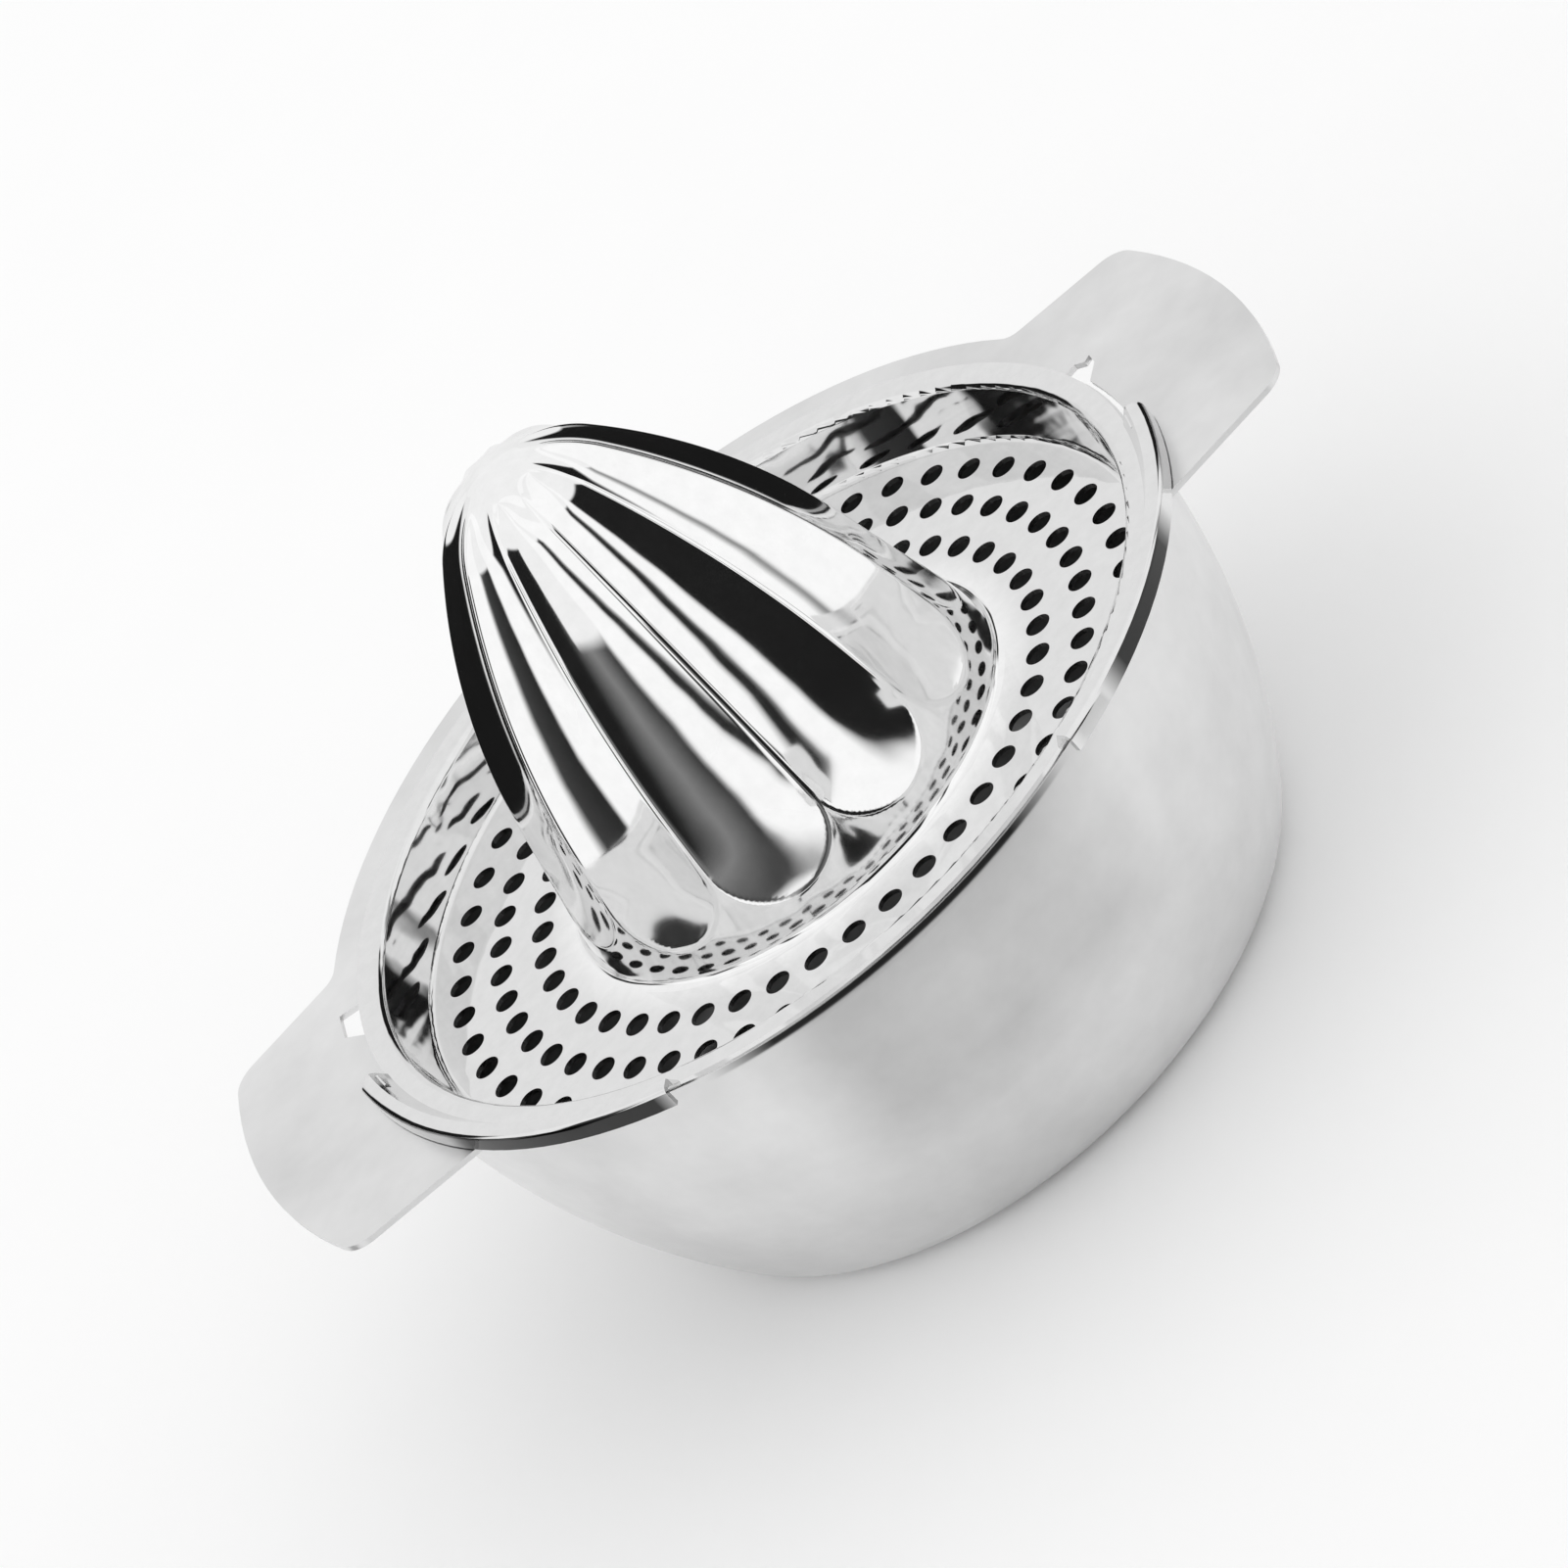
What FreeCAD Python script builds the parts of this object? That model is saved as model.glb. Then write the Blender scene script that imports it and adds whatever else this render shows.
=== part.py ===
"""Citrus squeezer: a pressed bowl with two flat ears, and a strainer and reamer pressing
that rests on its rim.  Millimetres, +Z up, origin at the middle of the bowl's underside,
ears along X."""
import FreeCAD, Part
import math
import os
import Sketcher
from FreeCAD import Placement, Rotation, Vector

os.makedirs("parts", exist_ok=True)
doc = FreeCAD.newDocument("citrus_squeezer")

# Driving sizes: alias, value, what it is.
SIZES = [
    ("bowl_sheet", 0.8, "sheet of the bowl"),
    ("bowl_height", 49.4, "underside of the bowl to the top of its rim and ears"),
    ("mouth_radius", 60.9, "outside of the wall at the rim"),
    ("wall_draft", 1.0, "slope of the upper wall, degrees"),
    ("wall_straight", 1.7, "straight band of wall under the rim, before the belly's curve"),
    ("foot_radius", 42.3, "flat underside"),
    ("foot_corner", 7.5, "corner between underside and wall"),
    ("flange_lip", 4.4, "far flange beyond the wall"),
    ("flange_ends", 20.0, "where the far flange ends, degrees from the ear axis"),
    ("ear_reach", 81.0, "middle of the ear's end"),
    ("ear_bulge", 4.5, "how far the ear's end bows out"),
    ("ear_tip_half", 25.7, "half width of the ear at its end"),
    ("ear_root_half", 31.8, "half width of the ear carried on to the mouth"),
    ("ear_corner", 4.5, "rounding of the ear's outer corners"),
    ("root_round", 3.0, "rounding between ear and flange"),
    ("rim_round", 0.4, "rounding of the rim's inner edge"),
    ("twist_angle", 4.15, "strainer and slots turned from the ear axis, degrees"),
    ("slot_gap", 0.1, "inner edge of the slots outside the wall"),
    ("slot_width", 0.6, "narrow arc of the right slot"),
    ("slot_half_span", 13.85, "half length of the narrow arc, degrees"),
    ("flag_start", 8.55, "near end of the right slot's flag, degrees past the strainer's own axis"),
    ("flag_end", 14.4, "far end of the flag, degrees"),
    ("flag_step", 1.6, "radial width of the flag's far end"),
    ("flag_reach", 3.6, "radial reach of the flag's horn"),
    ("window_start", 6.75, "near end of the left window, degrees"),
    ("window_end", 13.55, "far end of the left window, degrees"),
    ("window_width", 3.2, "radial width of the left window"),
    ("top_sheet", 0.7, "sheet of the strainer and reamer"),
    ("seat_gap", 0.0, "strainer flange above the rim"),
    ("edge_inset", 0.2, "strainer flange edge inside the bowl's wall"),
    ("dish_depth", 9.3, "flange top to the perforated floor"),
    ("dish_gap", 2.2, "dish wall inside the bowl's wall at the rim"),
    ("dish_draft", 8.0, "slope of the dish wall, degrees"),
    ("dish_round", 0.8, "inside rounding at the dish's floor"),
    ("brim_round", 0.6, "underside rounding between dish wall and flange"),
    ("hole_radius", 1.75, "juice hole"),
    ("inner_clear", 5.95, "inner ring of holes outside the reamer's foot"),
    ("outer_clear", 6.6, "outer ring of holes inside the dish wall"),
    ("middle_share", 0.517, "middle ring of holes, as a share of the way from inner to outer"),
    ("inner_count", 42, "holes in the inner ring"),
    ("middle_count", 48, "holes in the middle ring"),
    ("outer_count", 48, "holes in the outer ring"),
    ("inner_phase", 7.18, "first hole of the inner ring, degrees"),
    ("middle_phase", 1.13, "first hole of the middle ring, degrees"),
    ("outer_phase", 4.84, "first hole of the outer ring, degrees"),
    ("cone_height", 59.6, "perforated floor to the reamer's tip"),
    ("cone_foot", 32.3, "reamer wall carried down to the floor"),
    ("cone_taper", 12.45, "slope of the reamer's lower wall, degrees"),
    ("ridge_radius", 89.0, "curve of the ridges"),
    ("tip_radius", 15.5, "dome at the reamer's tip"),
    ("cone_root_round", 1.2, "rounding between reamer and floor"),
    ("flute_count", 10, "flutes round the reamer"),
    ("flute_phase", 24.45, "first ridge, degrees"),
    ("flute_ball", 12.35, "radius of a flute's rounded lower end"),
    ("flute_start", 16.02, "middle of that ball above the floor"),
    ("flute_out", 36.54, "middle of that ball from the axis"),
    ("flute_lean", 29.12, "lean of the line that a flute's hollow is turned about, degrees"),
    ("flute_waist", 4.64, "narrowest radius of the hollow, above the tip"),
    ("flute_curve", 203.1, "hollow's outline between ball and waist"),
    ("lug_start", 5.2, "ear end of a lug, degrees below the strainer's own axis"),
    ("lug_end", 60.8, "square end of a lug, degrees below the same axis"),
    ("lug_rise", 2.2, "pad of a lug above the flange"),
    ("lug_reach", 3.2, "skirt of a lug outside the bowl's wall"),
    ("lug_pad", 2.0, "radial width of a lug's pad"),
    ("lug_ramp", 1.7, "radial width of the slope up to the pad"),
    ("lug_gap", 0.2, "skirt above the ears"),
    ("lug_round", 0.9, "rounding of a lug's outer top edge"),
    ("lug_corner", 1.8, "rounding of a lug's ear end, seen from above"),
    ("lug_stop", 4.6, "solid ear end of a lug, degrees"),
    ("tongue_start", 6.2, "near the ear end of the lug, degrees below the strainer's own axis"),
    ("tongue_span", 3.0, "length of the tongue, degrees"),
    ("tongue_width", 2.2, "radial width of the tongue"),
    ("tongue_drop", 1.4, "tongue of a lug below the top of the ears"),
    ("tongue_play", 0.35, "clearance of the tongue in its notch"),
]

sheet = doc.addObject("Spreadsheet::Sheet", "Sizes")
for row, (alias, value, meaning) in enumerate(SIZES, start=1):
    sheet.set("A%d" % row, meaning)
    sheet.set("B%d" % row, str(value))
    sheet.setAlias("B%d" % row, alias)
doc.recompute()


def size(alias):
    """Value of one cell of the sheet."""
    return float(getattr(sheet, alias))


def cell(text):
    """Expression in which every alias becomes a cell of the sheet."""
    words = sorted((alias for alias, value, meaning in SIZES), key=len, reverse=True)
    out = ""
    place = 0
    while place < len(text):
        for word in words:
            if text.startswith(word, place):
                out += "Sizes." + word
                place += len(word)
                break
        else:
            out += text[place]
            place += 1
    return out


def origin_plane(body, role):
    """One of a body's own origin planes."""
    return next(item for item in body.Origin.OriginFeatures if item.Role == role)


def origin_axis(body):
    """A body's own Z axis."""
    return next(item for item in body.Origin.OriginFeatures if item.Role == "Z_Axis")


def new_sketch(body, name, role, lift=None, turn=None):
    """Empty sketch on an origin plane, raised along Z or swung round Z by an expression."""
    sketch = body.newObject("Sketcher::SketchObject", name)
    sketch.AttachmentSupport = [(origin_plane(body, role), "")]
    sketch.MapMode = "FlatFace"
    if lift:
        sketch.setExpression(".AttachmentOffset.Base.z", cell(lift))
    if turn:
        sketch.AttachmentOffset = Placement(Vector(0, 0, 0), Rotation(Vector(0, 1, 0), 1))
        sketch.setExpression(".AttachmentOffset.Rotation.Angle", cell(turn))
    return sketch


def bind(sketch, constraint, name, expression):
    """Add a dimension whose value comes from the sheet."""
    index = sketch.addConstraint(constraint)
    sketch.renameConstraint(index, name)
    sketch.setExpression("Constraints." + name, cell(expression))


def pin(sketch, edge, end, tag, across, up, at):
    """Fix a point of the sketch by its two coordinates, near where it already is."""
    across_now = Sketcher.Constraint("DistanceX", -1, 1, edge, end, at.x)
    up_now = Sketcher.Constraint("DistanceY", -1, 1, edge, end, at.y)
    bind(sketch, across_now, tag + "_x", across)
    bind(sketch, up_now, tag + "_y", up)


def polygon(sketch, corners):
    """Closed outline of straight edges; corners are (tag, across, up) expressions."""
    count = len(corners)
    ring = []
    for step in range(count):
        angle = 2 * math.pi * step / count
        ring.append(Vector(30 + math.cos(angle), 30 + math.sin(angle), 0))
    for step in range(count):
        sketch.addGeometry(Part.LineSegment(ring[step], ring[(step + 1) % count]), False)
    for step in range(count):
        sketch.addConstraint(Sketcher.Constraint("Coincident", step, 2, (step + 1) % count, 1))
    for step, (tag, across, up) in enumerate(corners):
        pin(sketch, step, 1, tag, across, up, ring[step])
    return sketch


def revolve(body, name, sketch, angle=None, kind="PartDesign::Revolution"):
    """Turn a section about the Z axis, by a full turn or by an angle centred on its plane."""
    turned = body.newObject(kind, name)
    turned.Profile = sketch
    turned.ReferenceAxis = (sketch, ["V_Axis"])
    turned.Angle = 360
    if angle:
        turned.Midplane = True
        turned.setExpression("Angle", cell(angle))
    body.Tip = turned
    doc.recompute()
    return turned


def polar(tag, radius, angle):
    """A corner of an outline in plan from a radius and an angle in degrees."""
    return (tag, "(%s) * cos((%s) * 1 deg)" % (radius, angle),
            "(%s) * sin((%s) * 1 deg)" % (radius, angle))


def block(inner, outer, low, high):
    """Corners of a rectangular section between two radii and two heights."""
    return [("inner_low", inner, low), ("outer_low", outer, low),
            ("outer_high", outer, high), ("inner_high", inner, high)]


def edges_where(shape, test):
    """Names of the edges that pass a test."""
    return ["Edge%d" % number for number, edge in enumerate(shape.Edges, start=1) if test(edge)]


def ring_edges(shape, radius, height):
    """Names of the edges that lie on one horizontal circle about the Z axis."""
    def on_ring(edge):
        points = [edge.valueAt(edge.FirstParameter + share * (edge.LastParameter - edge.FirstParameter))
                  for share in (0.0, 0.5, 1.0)]
        return all(abs(math.hypot(p.x, p.y) - radius) < 0.02 and abs(p.z - height) < 0.02
                   for p in points)
    return edges_where(shape, on_ring)


def upright_edges(shape, x, y, near=1.5):
    """Names of the upright edges near a point of the plan or near its mirror image in X."""
    def stands(edge):
        first, last = edge.Vertexes[0].Point, edge.Vertexes[-1].Point
        level = math.hypot(first.x - last.x, first.y - last.y)
        return level < 0.01 and math.hypot(abs(first.x) - x, first.y - y) < near
    return edges_where(shape, stands)


def fillet(body, name, base, edges, radius):
    """Round some edges of a feature."""
    rounded = body.newObject("PartDesign::Fillet", name)
    rounded.Base = (base, edges)
    rounded.setExpression("Radius", cell(radius))
    body.Tip = rounded
    doc.recompute()
    return rounded


# The bowl: its outer section turned into a solid, then hollowed to the sheet.
bowl = doc.addObject("PartDesign::Body", "juice_bowl")
bowl.Label = "juice_bowl"

draft = math.radians(size("wall_draft"))
mouth = Vector(size("mouth_radius"), size("bowl_height"), 0)
corner = Vector(size("foot_radius"), size("foot_corner"), 0)
down = Vector(-math.sin(draft), -math.cos(draft), 0)
inward = Vector(-math.cos(draft), math.sin(draft), 0)
wall_end = mouth + down * size("wall_straight")
fall_in = wall_end - corner
curve = (fall_in.Length ** 2 - size("foot_corner") ** 2) / -2 / (fall_in.dot(inward) + size("foot_corner"))
belly = wall_end + inward * curve
lean = math.atan2(corner.y - belly.y, corner.x - belly.x)
centre_line = Vector(0, 0, 1)

section = new_sketch(bowl, "bowl_section", "XZ_Plane")
section.addGeometry([
    Part.LineSegment(Vector(0, 0, 0), Vector(corner.x, 0, 0)),
    Part.ArcOfCircle(Part.Circle(corner, centre_line, size("foot_corner")), -math.pi / 2, lean),
    Part.ArcOfCircle(Part.Circle(belly, centre_line, curve), lean, -draft),
    Part.LineSegment(wall_end, mouth),
    Part.LineSegment(mouth, Vector(0, mouth.y, 0)),
    Part.LineSegment(Vector(0, mouth.y, 0), Vector(0, 0, 0)),
], False)
section.addConstraint([
    Sketcher.Constraint("Coincident", 0, 1, -1, 1),
    Sketcher.Constraint("Horizontal", 0),
    Sketcher.Constraint("Tangent", 0, 2, 1, 1),
    Sketcher.Constraint("Tangent", 1, 2, 2, 1),
    Sketcher.Constraint("Tangent", 2, 2, 3, 1),
    Sketcher.Constraint("Coincident", 3, 2, 4, 1),
    Sketcher.Constraint("Horizontal", 4),
    Sketcher.Constraint("PointOnObject", 4, 2, -2),
    Sketcher.Constraint("Coincident", 4, 2, 5, 1),
    Sketcher.Constraint("Coincident", 5, 2, 0, 1),
])
bind(section, Sketcher.Constraint("DistanceX", 0, 1, 0, 2, corner.x), "foot", "foot_radius")
bind(section, Sketcher.Constraint("Radius", 1, size("foot_corner")), "corner", "foot_corner")
bind(section, Sketcher.Constraint("Distance", 3, size("wall_straight")), "straight", "wall_straight")
bind(section, Sketcher.Constraint("DistanceX", -1, 1, 3, 2, mouth.x), "mouth", "mouth_radius")
bind(section, Sketcher.Constraint("DistanceY", -1, 1, 3, 2, mouth.y), "height", "bowl_height")
bind(section, Sketcher.Constraint("Angle", 3, math.pi / 2 - draft), "slope", "90 - wall_draft")
bowl_turned = revolve(bowl, "bowl_turned", section)
doc.recompute()

open_top = "Face%d" % next(
    number for number, face in enumerate(bowl_turned.Shape.Faces, start=1)
    if abs(face.CenterOfMass.z - mouth.y) < 0.001)
bowl_wall = bowl.newObject("PartDesign::Thickness", "bowl_wall")
bowl_wall.Base = (bowl_turned, [open_top])
bowl_wall.Join = 1
bowl_wall.Reversed = True
bowl_wall.setExpression("Value", cell("bowl_sheet"))
bowl.Tip = bowl_wall
doc.recompute()

# The far flange: a segment of a disc, one sheet thick, level with the rim.
flange_sketch = new_sketch(bowl, "flange_outline", "XY_Plane", lift="bowl_height - bowl_sheet")
ends = math.radians(size("flange_ends"))
flange_reach = size("mouth_radius") + size("flange_lip")
flange_end = Vector(math.cos(ends), math.sin(ends), 0) * flange_reach
flange_sketch.addGeometry([
    Part.ArcOfCircle(Part.Circle(Vector(0, 0, 0), centre_line, flange_reach), ends, math.pi - ends),
    Part.LineSegment(Vector(-flange_end.x, flange_end.y, 0), flange_end),
], False)
flange_sketch.addConstraint([
    Sketcher.Constraint("Coincident", 0, 3, -1, 1),
    Sketcher.Constraint("Coincident", 0, 2, 1, 1),
    Sketcher.Constraint("Coincident", 1, 2, 0, 1),
    Sketcher.Constraint("Horizontal", 1),
])
bind(flange_sketch, Sketcher.Constraint("Radius", 0, flange_reach), "reach", "mouth_radius + flange_lip")
bind(flange_sketch, Sketcher.Constraint("DistanceY", -1, 1, 1, 2, flange_end.y), "end",
     "(mouth_radius + flange_lip) * sin(flange_ends * 1 deg)")
flange = bowl.newObject("PartDesign::Pad", "flange")
flange.Profile = flange_sketch
flange.setExpression("Length", cell("bowl_sheet"))
doc.recompute()

# One ear, widest at the mouth, with a bowed end; the other is its mirror image.
ear_sketch = new_sketch(bowl, "ear_outline", "XY_Plane", lift="bowl_height - bowl_sheet")
tip_x = size("ear_reach") - size("ear_bulge")
tip_y = size("ear_tip_half")
bow = (tip_y ** 2 + size("ear_bulge") ** 2) / (2 * size("ear_bulge"))
bow_centre = Vector(size("ear_reach") - bow, 0, 0)
swing = math.asin(tip_y / bow)
root_x = size("mouth_radius") / 2
root_y = size("ear_root_half")
ear_sketch.addGeometry([
    Part.LineSegment(Vector(root_x, -root_y, 0), Vector(tip_x, -tip_y, 0)),
    Part.ArcOfCircle(Part.Circle(bow_centre, centre_line, bow), -swing, swing),
    Part.LineSegment(Vector(tip_x, tip_y, 0), Vector(root_x, root_y, 0)),
    Part.LineSegment(Vector(root_x, root_y, 0), Vector(root_x, -root_y, 0)),
], False)
ear_sketch.addConstraint([
    Sketcher.Constraint("Coincident", 0, 2, 1, 1),
    Sketcher.Constraint("Coincident", 1, 2, 2, 1),
    Sketcher.Constraint("Coincident", 2, 2, 3, 1),
    Sketcher.Constraint("Coincident", 3, 2, 0, 1),
])
pin(ear_sketch, 0, 1, "near_root", "mouth_radius / 2", "-ear_root_half", Vector(root_x, -root_y, 0))
pin(ear_sketch, 0, 2, "near_tip", "ear_reach - ear_bulge", "-ear_tip_half",
    Vector(tip_x, -tip_y, 0))
pin(ear_sketch, 2, 1, "far_tip", "ear_reach - ear_bulge", "ear_tip_half", Vector(tip_x, tip_y, 0))
pin(ear_sketch, 3, 1, "far_root", "mouth_radius / 2", "ear_root_half", Vector(root_x, root_y, 0))
bind(ear_sketch, Sketcher.Constraint("Radius", 1, bow), "bow",
     "(ear_tip_half ^ 2 + ear_bulge ^ 2) / (2 * ear_bulge)")
ear = bowl.newObject("PartDesign::Pad", "ear")
ear.Profile = ear_sketch
ear.setExpression("Length", cell("bowl_sheet"))
doc.recompute()
ears = bowl.newObject("PartDesign::Mirrored", "ears")
ears.Originals = [ear]
ears.MirrorPlane = (origin_plane(bowl, "YZ_Plane"), [""])
bowl.Tip = ears
doc.recompute()

# The mouth opens the plate along the inside of the wall.
mouth_inner = "mouth_radius - bowl_sheet / cos(wall_draft * 1 deg)"
mouth_sketch = new_sketch(bowl, "mouth_section", "XZ_Plane")
polygon(mouth_sketch, [
    ("axis_low", "0", "bowl_height - bowl_sheet"),
    ("wall_low", mouth_inner + " - bowl_sheet * tan(wall_draft * 1 deg)", "bowl_height - bowl_sheet"),
    ("wall_high", mouth_inner, "bowl_height"),
    ("axis_high", "0", "bowl_height"),
])
mouth_cut = revolve(bowl, "mouth_cut", mouth_sketch, kind="PartDesign::Groove")

plan = mouth_cut.Shape
slant = math.atan2(root_y - tip_y, tip_x - root_x)
reach_line = root_y + math.tan(slant) * root_x
drop = math.tan(slant)
meet_x = (reach_line * drop + math.sqrt((1 + drop ** 2) * flange_reach ** 2 - reach_line ** 2)) \
    / (1 + drop ** 2)
corners = upright_edges(plan, tip_x, tip_y) + upright_edges(plan, tip_x, -tip_y)
bowl_corners = fillet(bowl, "ear_corners", mouth_cut, corners, "ear_corner")
roots = upright_edges(bowl_corners.Shape, meet_x, reach_line - drop * meet_x)
bowl_roots = fillet(bowl, "ear_roots", bowl_corners, roots, "root_round")

# Cuts in the ears.  The right one is a narrow arc that ends in a flag, the left one a window;
# a notch under each lug takes the lug's tongue.  Angles run from the strainer's own axis.
slot_inner = "mouth_radius + slot_gap"
notch_turn = "tongue_start + tongue_span / 2"
notch_span = "tongue_span + 2 * tongue_play / mouth_radius * 180 / pi"
ring_cuts = [
    ("slot_arc", "0", "slot_width", "2 * slot_half_span"),
    ("right_notch", "-(" + notch_turn + ")", "tongue_width + 2 * tongue_play", notch_span),
    ("left_notch", "180 + " + notch_turn, "tongue_width + 2 * tongue_play", notch_span),
]
for name, middle, width, span in ring_cuts:
    sketch = new_sketch(bowl, name + "_section", "XZ_Plane", turn="-twist_angle + " + middle)
    polygon(sketch, block(slot_inner, slot_inner + " + " + width,
                          "bowl_height - 2 * bowl_sheet", "bowl_height + bowl_sheet"))
    revolve(bowl, name, sketch, span, "PartDesign::Groove")

flag = [
    ("foot", "0", "flag_start"),
    ("horn_low", "0.85 * flag_reach", "(flag_start + flag_end) / 2"),
    ("horn", "flag_reach", "flag_end - 1"),
    ("notch", "0.7 * flag_reach", "flag_end - 1.3"),
    ("head", "flag_step", "flag_end"),
    ("inner", "0", "flag_end"),
]
window = [
    ("foot", "0", "180 - window_start"),
    ("inner", "0", "180 - window_end"),
    ("head", "window_width", "180 - window_end"),
    ("side", "0.9 * window_width", "180 - (2 * window_start + window_end) / 3"),
]
for name, corners in (("right_flag", flag), ("left_window", window)):
    sketch = new_sketch(bowl, name + "_outline", "XY_Plane", lift="bowl_height")
    polygon(sketch, [polar(tag, slot_inner + " + " + beyond, angle + " - twist_angle")
                     for tag, beyond, angle in corners])
    cut = bowl.newObject("PartDesign::Pocket", name)
    cut.Profile = sketch
    cut.setExpression("Length", cell("bowl_sheet"))
    bowl.Tip = cut
    doc.recompute()

inner_mouth = size("mouth_radius") - size("bowl_sheet") / math.cos(draft)
bowl_rim = fillet(bowl, "bowl_rim", cut,
                  ring_edges(cut.Shape, inner_mouth, size("bowl_height")), "rim_round")

# The strainer: dish, perforated floor and flange in one sheet, turned about Z.
top = doc.addObject("PartDesign::Body", "strainer_body")
flange_low = "bowl_height + seat_gap"
flange_high = "bowl_height + seat_gap + top_sheet"
floor_high = "bowl_height + seat_gap + top_sheet - dish_depth"
floor_low = "bowl_height + seat_gap - dish_depth"
dish_out = "mouth_radius - bowl_sheet - dish_gap"
slope = "dish_depth * tan(dish_draft * 1 deg)"
skin = "top_sheet / cos(dish_draft * 1 deg)"
tuck = "top_sheet * tan(dish_draft * 1 deg)"
root = "cone_foot - cone_root_round * tan(cone_taper * 1 deg) + cone_root_round / cos(cone_taper * 1 deg)"
dish_section = new_sketch(top, "dish_section", "XZ_Plane")
polygon(dish_section, [
    ("floor_inner_low", root, floor_low),
    ("floor_outer_low", dish_out + " - " + slope, floor_low),
    ("wall_out", dish_out, flange_low),
    ("edge_low", "mouth_radius - edge_inset", flange_low),
    ("edge_high", "mouth_radius - edge_inset", flange_high),
    ("wall_in", dish_out + " - " + skin + " + " + tuck, flange_high),
    ("floor_outer_high", dish_out + " - " + slope + " - " + skin + " + " + tuck, floor_high),
    ("floor_inner_high", root, floor_high),
])
dish = revolve(top, "dish", dish_section)
base_z = size("bowl_height") + size("seat_gap")
out_r = size("mouth_radius") - size("bowl_sheet") - size("dish_gap")
fall = size("dish_depth") * math.tan(math.radians(size("dish_draft")))
step_in = size("top_sheet") * (math.tan(math.radians(size("dish_draft")))
                               - 1 / math.cos(math.radians(size("dish_draft"))))
sheet_t = size("top_sheet")
dish_a = fillet(top, "dish_floor_inside", dish,
                ring_edges(dish.Shape, out_r - fall + step_in, base_z + sheet_t - size("dish_depth")),
                "dish_round")
dish_b = fillet(top, "dish_floor_outside", dish_a,
                ring_edges(dish_a.Shape, out_r - fall, base_z - size("dish_depth")),
                "dish_round + top_sheet")
dish_c = fillet(top, "brim_outside", dish_b, ring_edges(dish_b.Shape, out_r, base_z), "brim_round")
dish_d = fillet(top, "brim_inside", dish_c,
                ring_edges(dish_c.Shape, out_r + step_in, base_z + sheet_t), "brim_round + top_sheet")

# Juice holes: one round cut per ring, repeated round the axis.
inner_ring = "(cone_foot + inner_clear)"
outer_ring = "(mouth_radius - bowl_sheet - dish_gap - outer_clear)"
middle_ring = "(%s + (%s - %s) * middle_share)" % (inner_ring, outer_ring, inner_ring)
first_ring = size("cone_foot") + size("inner_clear")
last_ring = out_r - size("outer_clear")
tip = dish_d
for ring, radius, expression in (
        ("inner", first_ring, inner_ring),
        ("middle", first_ring + (last_ring - first_ring) * size("middle_share"), middle_ring),
        ("outer", last_ring, outer_ring)):
    hole_sketch = new_sketch(top, ring + "_hole", "XY_Plane", lift=flange_low)
    angle = math.radians(size(ring + "_phase"))
    middle = Vector(math.cos(angle), math.sin(angle), 0) * radius
    hole_sketch.addGeometry(Part.Circle(middle, centre_line, size("hole_radius")), False)
    bind(hole_sketch, Sketcher.Constraint("Radius", 0, size("hole_radius")), "hole", "hole_radius")
    bind(hole_sketch, Sketcher.Constraint("DistanceX", -1, 1, 0, 3, middle.x), "across",
         "%s * cos(%s_phase * 1 deg)" % (expression, ring))
    bind(hole_sketch, Sketcher.Constraint("DistanceY", -1, 1, 0, 3, middle.y), "up",
         "%s * sin(%s_phase * 1 deg)" % (expression, ring))
    hole = top.newObject("PartDesign::Pocket", ring + "_hole_cut")
    hole.Profile = hole_sketch
    hole.setExpression("Length", cell("dish_depth + top_sheet"))
    top.Tip = hole
    doc.recompute()
    holes = top.newObject("PartDesign::PolarPattern", ring + "_holes")
    holes.Originals = [hole]
    holes.Axis = (origin_axis(top), [""])
    holes.Angle = 360
    holes.setExpression("Occurrences", cell(ring + "_count"))
    top.Tip = holes
    doc.recompute()
    tip = holes

# Two lugs on the near half: a raised pad, a skirt outside the rim, and a solid ear end with
# a tongue that stands in the slot and keeps the strainer from turning.
tongue_inner = "mouth_radius + slot_gap + tongue_play"
skirt = "mouth_radius + lug_reach"
pad = "mouth_radius + lug_reach - lug_pad"
ramp = "mouth_radius + lug_reach - lug_pad - lug_ramp"
pad_high = "bowl_height + seat_gap + top_sheet + lug_rise"
skirt_low = "bowl_height + lug_gap"
lug_profile = [
    ("root_high", ramp + " - top_sheet", flange_high),
    ("ramp_high", ramp, flange_high),
    ("pad_inner", pad, pad_high),
    ("pad_outer", skirt, pad_high),
    ("skirt_out", skirt, skirt_low),
    ("skirt_in", skirt + " - top_sheet", skirt_low),
    ("under_outer", skirt + " - top_sheet", pad_high + " - top_sheet"),
    ("under_inner", pad + " + top_sheet * 0.4", pad_high + " - top_sheet"),
    ("ramp_low", ramp + " + top_sheet * 0.4", flange_low),
    ("root_low", ramp + " - top_sheet", flange_low),
]
stop_profile = lug_profile[:5] + [
    ("skirt_in", tongue_inner, skirt_low),
    ("step", tongue_inner, flange_low),
    ("root_low", ramp + " - top_sheet", flange_low),
]
tongue_profile = block(tongue_inner, tongue_inner + " + tongue_width",
                       "bowl_height - tongue_drop", pad_high + " - top_sheet")
lug_parts = [
    ("lug", lug_profile, "(lug_start + lug_end) / 2", "lug_end - lug_start"),
    ("stop", stop_profile, "lug_start + lug_stop / 2", "lug_stop"),
    ("tongue", tongue_profile, notch_turn, "tongue_span"),
]
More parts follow.
